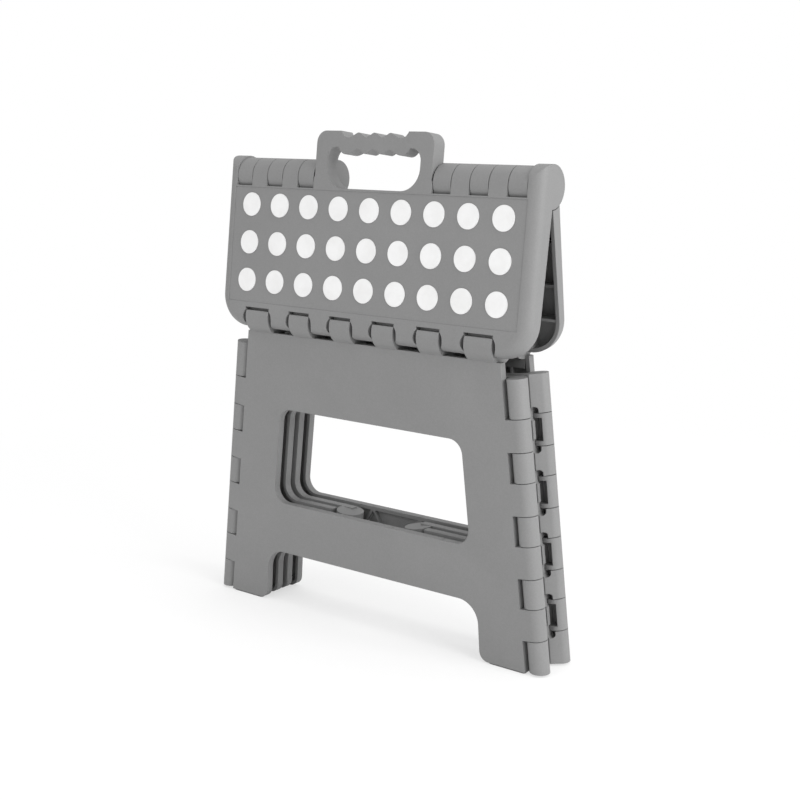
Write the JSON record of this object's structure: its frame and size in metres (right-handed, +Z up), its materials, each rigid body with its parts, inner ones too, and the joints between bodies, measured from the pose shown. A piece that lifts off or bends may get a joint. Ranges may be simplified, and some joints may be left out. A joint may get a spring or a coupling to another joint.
{
  "type": "folding step stool",
  "caption": "Folding plastic step stool with a dotted tread in two hinged halves, panel legs, folding end walls and a carrying handle.",
  "frame": {"origin": "on the floor, in the middle of the folded stool's footprint", "axes": "+Z up, towards the carrying handle; -Y out of the front tread panel; +X along the width"},
  "size_m": [0.3268, 0.0568, 0.3866],
  "materials": {
    "stool_plastic": "matte",
    "tread_dots": "matte",
    "foot_rubber": "matte"
  },
  "bodies": {
    "front_leg": {"front_leg_panel": "stool_plastic", "left_front_foot_pad": "foot_rubber", "right_front_foot_pad": "foot_rubber"},
    "front_seat": {"front_seat_panel": "stool_plastic", "front_tread_dots_lower": "tread_dots", "front_tread_dots_middle": "tread_dots", "front_tread_dots_upper": "tread_dots"},
    "rear_seat": {"rear_seat_panel": "stool_plastic", "rear_tread_dots_lower": "tread_dots", "rear_tread_dots_middle": "tread_dots", "rear_tread_dots_upper": "tread_dots"},
    "rear_leg": {"rear_leg_panel": "stool_plastic", "left_rear_foot_pad": "foot_rubber", "right_rear_foot_pad": "foot_rubber"},
    "right_front_end": {"right_front_end_panel": "stool_plastic"},
    "right_rear_end": {"right_rear_end_panel": "stool_plastic"},
    "left_front_end": {"left_front_end_panel": "stool_plastic"},
    "left_rear_end": {"left_rear_end_panel": "stool_plastic"}
  },
  "joints": [
    {"name": "seat_front_fold", "type": "hinge", "parent": "front_leg", "child": "front_seat", "pos_m": [0, -0.0142, 0.239], "axis": [-1, 0, 0], "range_deg": [0, 82.7]},
    {"name": "seat_centre_fold", "type": "hinge", "parent": "front_seat", "child": "rear_seat", "pos_m": [0, 0, 0.3501], "axis": [-1, 0, 0], "range_deg": [-165.6, 0]},
    {"name": "rear_leg_fold", "type": "hinge", "parent": "rear_seat", "child": "rear_leg", "pos_m": [0, 0.0142, 0.239], "axis": [-1, 0, 0], "range_deg": [0, 82.8]},
    {"name": "right_front_corner", "type": "hinge", "parent": "front_leg", "child": "right_front_end", "pos_m": [0.156, -0.0142, 0], "axis": [0.1123, 0, -0.9937], "range_deg": [0, 82.8]},
    {"name": "right_middle", "type": "hinge", "parent": "right_front_end", "child": "right_rear_end", "pos_m": [0.04561, 0, -0.01248], "axis": [0.1123, 0, -0.9937], "range_deg": [-165.6, 0]},
    {"name": "left_front_corner", "type": "hinge", "parent": "front_leg", "child": "left_front_end", "pos_m": [-0.156, -0.0142, 0], "axis": [0.1123, 0, 0.9937], "range_deg": [0, 82.8]},
    {"name": "left_middle", "type": "hinge", "parent": "left_front_end", "child": "left_rear_end", "pos_m": [-0.04561, 0, -0.01248], "axis": [0.1123, 0, 0.9937], "range_deg": [-165.6, 0]}
  ],
  "couplings": [
    {"joint": "seat_centre_fold", "follows": "seat_front_fold", "ratio": -2},
    {"joint": "rear_leg_fold", "follows": "seat_front_fold", "ratio": 1},
    {"joint": "right_front_corner", "follows": "seat_front_fold", "ratio": 1},
    {"joint": "right_middle", "follows": "seat_front_fold", "ratio": -2},
    {"joint": "left_front_corner", "follows": "seat_front_fold", "ratio": 1},
    {"joint": "left_middle", "follows": "seat_front_fold", "ratio": -2}
  ]
}
